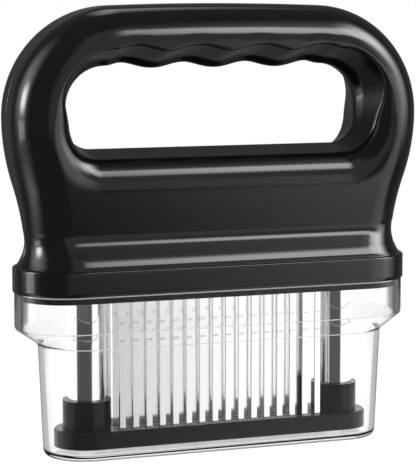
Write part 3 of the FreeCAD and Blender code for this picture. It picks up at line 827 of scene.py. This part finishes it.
def levelRing(halfLength, halfDepth, flat, cornerSteps=18, frontSteps=36):
    # points of a whole level section, front half from left to right and then back round the rear
    shares = [-2 + step / cornerSteps for step in range(cornerSteps)]
    shares += [-1 + 2 * step / frontSteps for step in range(frontSteps)]
    shares += [1 + step / cornerSteps for step in range(cornerSteps + 1)]
    front = [sectionPoint(halfLength, halfDepth, flat, share) for share in shares]
    return front + [(x, -y) for x, y in front[::-1]]


def buildCover():
    wall, step = cover["wall"], cover["capStep"]
    hipLength = cover["footLength"] + cover["draft"]
    hipDepth = cover["footDepth"] + cover["draft"]
    footLength, footDepth = cover["footLength"], cover["footDepth"]
    rimLength, rimDepth = cover["rimLength"], cover["rimDepth"]
    low, high = cover["shoulderLow"], cover["shoulderHigh"]
    # half length, half depth, height and radius of each turn, up the outside and down the inside
    keys = [
        (footLength - step, footDepth - step, 0.0, 0.0),
        (footLength, footDepth, 0.0, cover["footRadius"]),
        (hipLength, hipDepth, low, cover["shoulderRadius"]),
        (rimLength, rimDepth, high, cover["shoulderRadius"]),
        (rimLength, rimDepth, coverHigh.z, cover["rimRadius"]),
        (rimLength - wall, rimDepth - wall, coverHigh.z, cover["rimRadius"]),
        (rimLength - wall, rimDepth - wall, high, cover["innerRadius"]),
        (hipLength - wall, hipDepth - wall, low, cover["innerRadius"]),
        (footLength - wall, footDepth - wall, cover["floor"], cover["floorRadius"]),
        (footLength - wall - step, footDepth - wall - step, cover["floor"], 0.0),
    ]
    points = []
    steps = 5
    rows = roundedRows(keys, steps)
    for halfLength, halfDepth, z in rows:
        ring = levelRing(halfLength, halfDepth, cover["flat"])
        points.extend((x, y, z) for x, y in ring)
    columns = len(ring)
    faces = gridFaces(len(rows), columns, closed=True)
    faces.append(tuple(range(columns))[::-1])
    faces.append(tuple((len(rows) - 1) * columns + column for column in range(columns)))
    obj = meshPiece("clear_cover_shell", points, faces, coverClear, "cover", ["blade_cover"])
    # painted highlight: the rim all round, and the middle of both creases at the front, take a milky, less
    # clear finish so that they show as bright lines
    obj.data.materials.append(coverPaintedHighlight)
    turned = steps + 1
    creases = [1 + turned + 2, 1 + 2 * turned + 2]
    rim = [1 + 3 * turned + step for step in range(steps)]
    for row in creases + rim:
        for column in range(columns if row in rim else columns // 2):
            obj.data.polygons[row * columns + column].material_index = 1


buildCover()
print("cover built")


# springs

spring = {
    "wire": 1.0 * mm,
    "radius": 4.85 * mm,
    "turns": 16,
    "low": 21.25 * mm,
    "high": 101.5 * mm,
    "travel": 30.0 * mm,
}


def buildSpring(side, x):
    # an even coil, hung from its upper end
    around, perTurn = 10, 28
    count = spring["turns"] * perTurn
    half = spring["wire"] / 2
    points = []
    for step in range(count + 1):
        share = step / count
        turn = 2 * math.pi * spring["turns"] * share
        z = spring["low"] + half + (spring["high"] - spring["low"] - spring["wire"]) * share
        out = np.array((math.cos(turn), math.sin(turn), 0))
        for spot in range(around):
            angle = 2 * math.pi * spot / around
            place = np.array((x, 0, z)) + out * (spring["radius"] + half * math.cos(angle))
            points.append(place + np.array((0, 0, half * math.sin(angle))))
    faces = [face[::-1] for face in gridFaces(count + 1, around, closed=True)]
    faces.append(tuple(range(around)))
    faces.append(tuple(count * around + spot for spot in range(around))[::-1])
    obj = meshPiece(side + "_coil", points, faces, wireSteel, "handle", [side + "_spring"])
    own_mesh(obj)


buildSpring("left", -postX)
buildSpring("right", postX)
print("springs built")


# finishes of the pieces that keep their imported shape

finishes = {
    "base_plate": baseBlack,
    "base_screws": screwSteel,
    "left_guide_bush": bushWhite,
    "right_guide_bush": bushWhite,
    "blade_holder": holderBlack,
    "holder_cap": holderBlack,
    "holder_screws": screwSteel,
    "front_blade_row": bladeSteel,
    "middle_blade_row": bladeSteel,
    "rear_blade_row": bladeSteel,
    "left_spring_guide": bushWhite,
    "right_spring_guide": bushWhite,
    "guard_plate": guardBlack,
    "left_guide_tube": tubeSteel,
    "right_guide_tube": tubeSteel,
    "left_tube_plug": bushWhite,
    "right_tube_plug": bushWhite,
    "tube_screws": screwSteel,
    "left_stop_ring": wireSteel,
    "right_stop_ring": wireSteel,
}
for nodeName, finish in finishes.items():
    nodeMaterials = nodes[nodeName].data.materials
    nodeMaterials.clear()
    nodeMaterials.append(finish)
print("packed pieces finished")


# floor, world and lamp

table = {
    "radius": 0.26,
    "rings": 6,
    "around": 72,
    "drop": 0.2 * mm,
    "colour": (0.5, 0.5, 0.5, 1),
    "roughness": 0.9,
    "glow": 0.74,                # brings the table up to the white behind it
    "fade": (0.15, 0.25),        # distances between which it thins out to nothing
}


def addFloor():
    # a round pale table
    rings, around = table["rings"], table["around"]
    points = [(0.0, 0.0, 0.0)]
    for ring in range(1, rings + 1):
        reach = table["radius"] * ring / rings
        for spot in range(around):
            angle = 2 * math.pi * spot / around
            points.append((reach * math.cos(angle), reach * math.sin(angle), 0.0))
    faces = [(0, 1 + spot, 1 + (spot + 1) % around) for spot in range(around)]
    faces += [face[::-1] for face in gridFaces(rings, around, closed=True, start=1)]
    mesh = bpy.data.meshes.new("studio_floor")
    mesh.from_pydata(points, [], faces)
    obj = bpy.data.objects.new("studio_floor", mesh)
    bpy.context.scene.collection.objects.link(obj)
    obj.location.z = -table["drop"]
    mat, tree, bsdf = newMaterial("floor_pale")
    bsdf.inputs["Base Color"].default_value = table["colour"]
    bsdf.inputs["Roughness"].default_value = table["roughness"]
    bsdf.inputs["Specular IOR Level"].default_value = 0.0
    bsdf.inputs["Emission Color"].default_value = (1, 1, 1, 1)
    path = tree.nodes.new("ShaderNodeLightPath")
    seen = mathNode(tree, "MAXIMUM", path.outputs["Is Camera Ray"], path.outputs["Is Transmission Ray"])
    tree.links.new(mathNode(tree, "MULTIPLY", seen, table["glow"]), bsdf.inputs["Emission Strength"])
    place = tree.nodes.new("ShaderNodeTexCoord")
    away = tree.nodes.new("ShaderNodeVectorMath")
    away.operation = "LENGTH"
    tree.links.new(place.outputs["Object"], away.inputs[0])
    thin = rangeNode(tree, away.outputs["Value"], *table["fade"], 0.0, 1.0)
    # gloss mirrors the studio past the table
    thin = mathNode(tree, "MAXIMUM", thin, mathNode(tree, "GREATER_THAN", path.outputs["Glossy Depth"], 0.5))
    mixSurface(tree, thin, bsdf, tree.nodes.new("ShaderNodeBsdfTransparent"))
    mesh.materials.append(mat)


# soft boxes that gloss mirrors: centre turn and rise, half turn and rise, soft turn and rise, level
studioBoxes = [
    (-99, 12, 0.0, 2.0, 15.1, 12.7, 16.4),      # upright strip on the left, and what lies round it
    (-105, 21, 1.3, 0.8, 30.7, 44.0, 2.8),
    (-101, -7, 8.3, 2.5, 5.5, 4.0, 2.8),
    (-99, -72, 0.1, 4.5, 31.3, 69.2, 3.2),
    (62, 33, 0.0, 0.0, 26.1, 21.7, 9.5),        # broad box on the right, and what lies round it
    (67, 16, 0.0, 0.0, 26.7, 38.2, 4.3),
    (36, 35, 8.0, 4.0, 15.0, 7.0, 7.5),
    (56, 48, 0.1, 2.7, 36.0, 11.7, 0.7),
    (44, -23, 10.4, 28.1, 18.0, 6.0, 1.3),
    (18, 21, 22.4, 26.1, 16.2, 8.0, 0.4),
    (160, 60, 0.1, 8.8, 25.1, 6.0, 1.9),        # high behind
]
room = {
    "plain": 0.75,               # what lights the pieces from all round
    "dark": 0.13,                # what gloss mirrors between the soft boxes
    "inside": 1.4,               # what metal in the cover mirrors: white, less the dark room in front
    "insideDark": (-28, 0, 42, 60, 8, 20, 1.32),
    "within": 0.6,               # what the cover mirrors within its own wall
    "behind": 0.45,              # what shows through the cover far to the sides
    "behindWhite": (160, 0, 62, 90, 22, 1, 0.55),       # and what white adds to it behind
    "background": 1.0,
}


def addWorld():
    world = bpy.data.worlds.new("studio")
    bpy.context.scene.world = world
    world.use_nodes = True
    tree = world.node_tree
    tree.nodes.clear()
    out = tree.nodes.new("ShaderNodeOutputWorld")
    light = addNode(tree, "ShaderNodeBackground", Color=(1, 1, 1, 1))
    place = tree.nodes.new("ShaderNodeTexCoord")
    axes = tree.nodes.new("ShaderNodeSeparateXYZ")
    tree.links.new(place.outputs["Generated"], axes.inputs[0])
    front = mathNode(tree, "MULTIPLY", axes.outputs["Y"], -1.0)
    turn = mathNode(tree, "DEGREES", mathNode(tree, "ARCTAN2", axes.outputs["X"], front))
    rise = mathNode(tree, "DEGREES", mathNode(tree, "ARCSINE", axes.outputs["Z"]))

    def box(centreTurn, centreRise, halfTurn, halfRise, softTurn, softRise, level):
        group = placeGroup(tree, softBox, **{
            "Centre Turn": centreTurn, "Centre Rise": centreRise,
            "Half Turn": halfTurn, "Half Rise": halfRise,
            "Soft Turn": softTurn, "Soft Rise": softRise, "Level": level})
        tree.links.new(turn, group.inputs["Turn"])
        tree.links.new(rise, group.inputs["Rise"])
        return group.outputs["Light"]

    mirrored = room["dark"]
    for values in studioBoxes:
        mirrored = mathNode(tree, "ADD", box(*values), mirrored)
    inside = mathNode(tree, "SUBTRACT", room["inside"], box(*room["insideDark"]))
    behind = mathNode(tree, "ADD", box(*room["behindWhite"]), room["behind"])
    path = tree.nodes.new("ShaderNodeLightPath")
    afterGloss = mathNode(tree, "GREATER_THAN", path.outputs["Glossy Depth"], 0.5)
    deep = mathNode(tree, "GREATER_THAN", path.outputs["Transmission Depth"], 3.5)
    throughCover = mixNumber(tree, afterGloss, behind, mixNumber(tree, deep, room["within"], inside))
    level = mixNumber(tree, path.outputs["Is Glossy Ray"], room["plain"], mirrored)
    level = mixNumber(tree, path.outputs["Is Transmission Ray"], level, throughCover)
    level = mixNumber(tree, path.outputs["Is Camera Ray"], level, room["background"])
    tree.links.new(level, light.inputs["Strength"])
    tree.links.new(light.outputs[0], out.inputs["Surface"])


keyLamp = {
    "place": (-0.25, -0.55, 0.9),
    "target": (0, 0, 0.09),
    "size": (0.8, 0.5),
    "watts": 2.5,
}


def addLamp(name, lamp):
    data = bpy.data.lights.new(name, "AREA")
    data.shape = "RECTANGLE"
    data.size, data.size_y = lamp["size"]
    data.energy = lamp["watts"]
    obj = bpy.data.objects.new(name, data)
    bpy.context.scene.collection.objects.link(obj)
    obj.location = lamp["place"]
    aim = Vector(lamp["target"]) - Vector(lamp["place"])
    obj.rotation_euler = aim.to_track_quat("-Z", "Y").to_euler()
    obj.visible_glossy = False


addFloor()
addWorld()
addLamp("key_lamp", keyLamp)
bpy.context.scene.view_settings.view_transform = "Standard"
print("floor, world and lamp set")
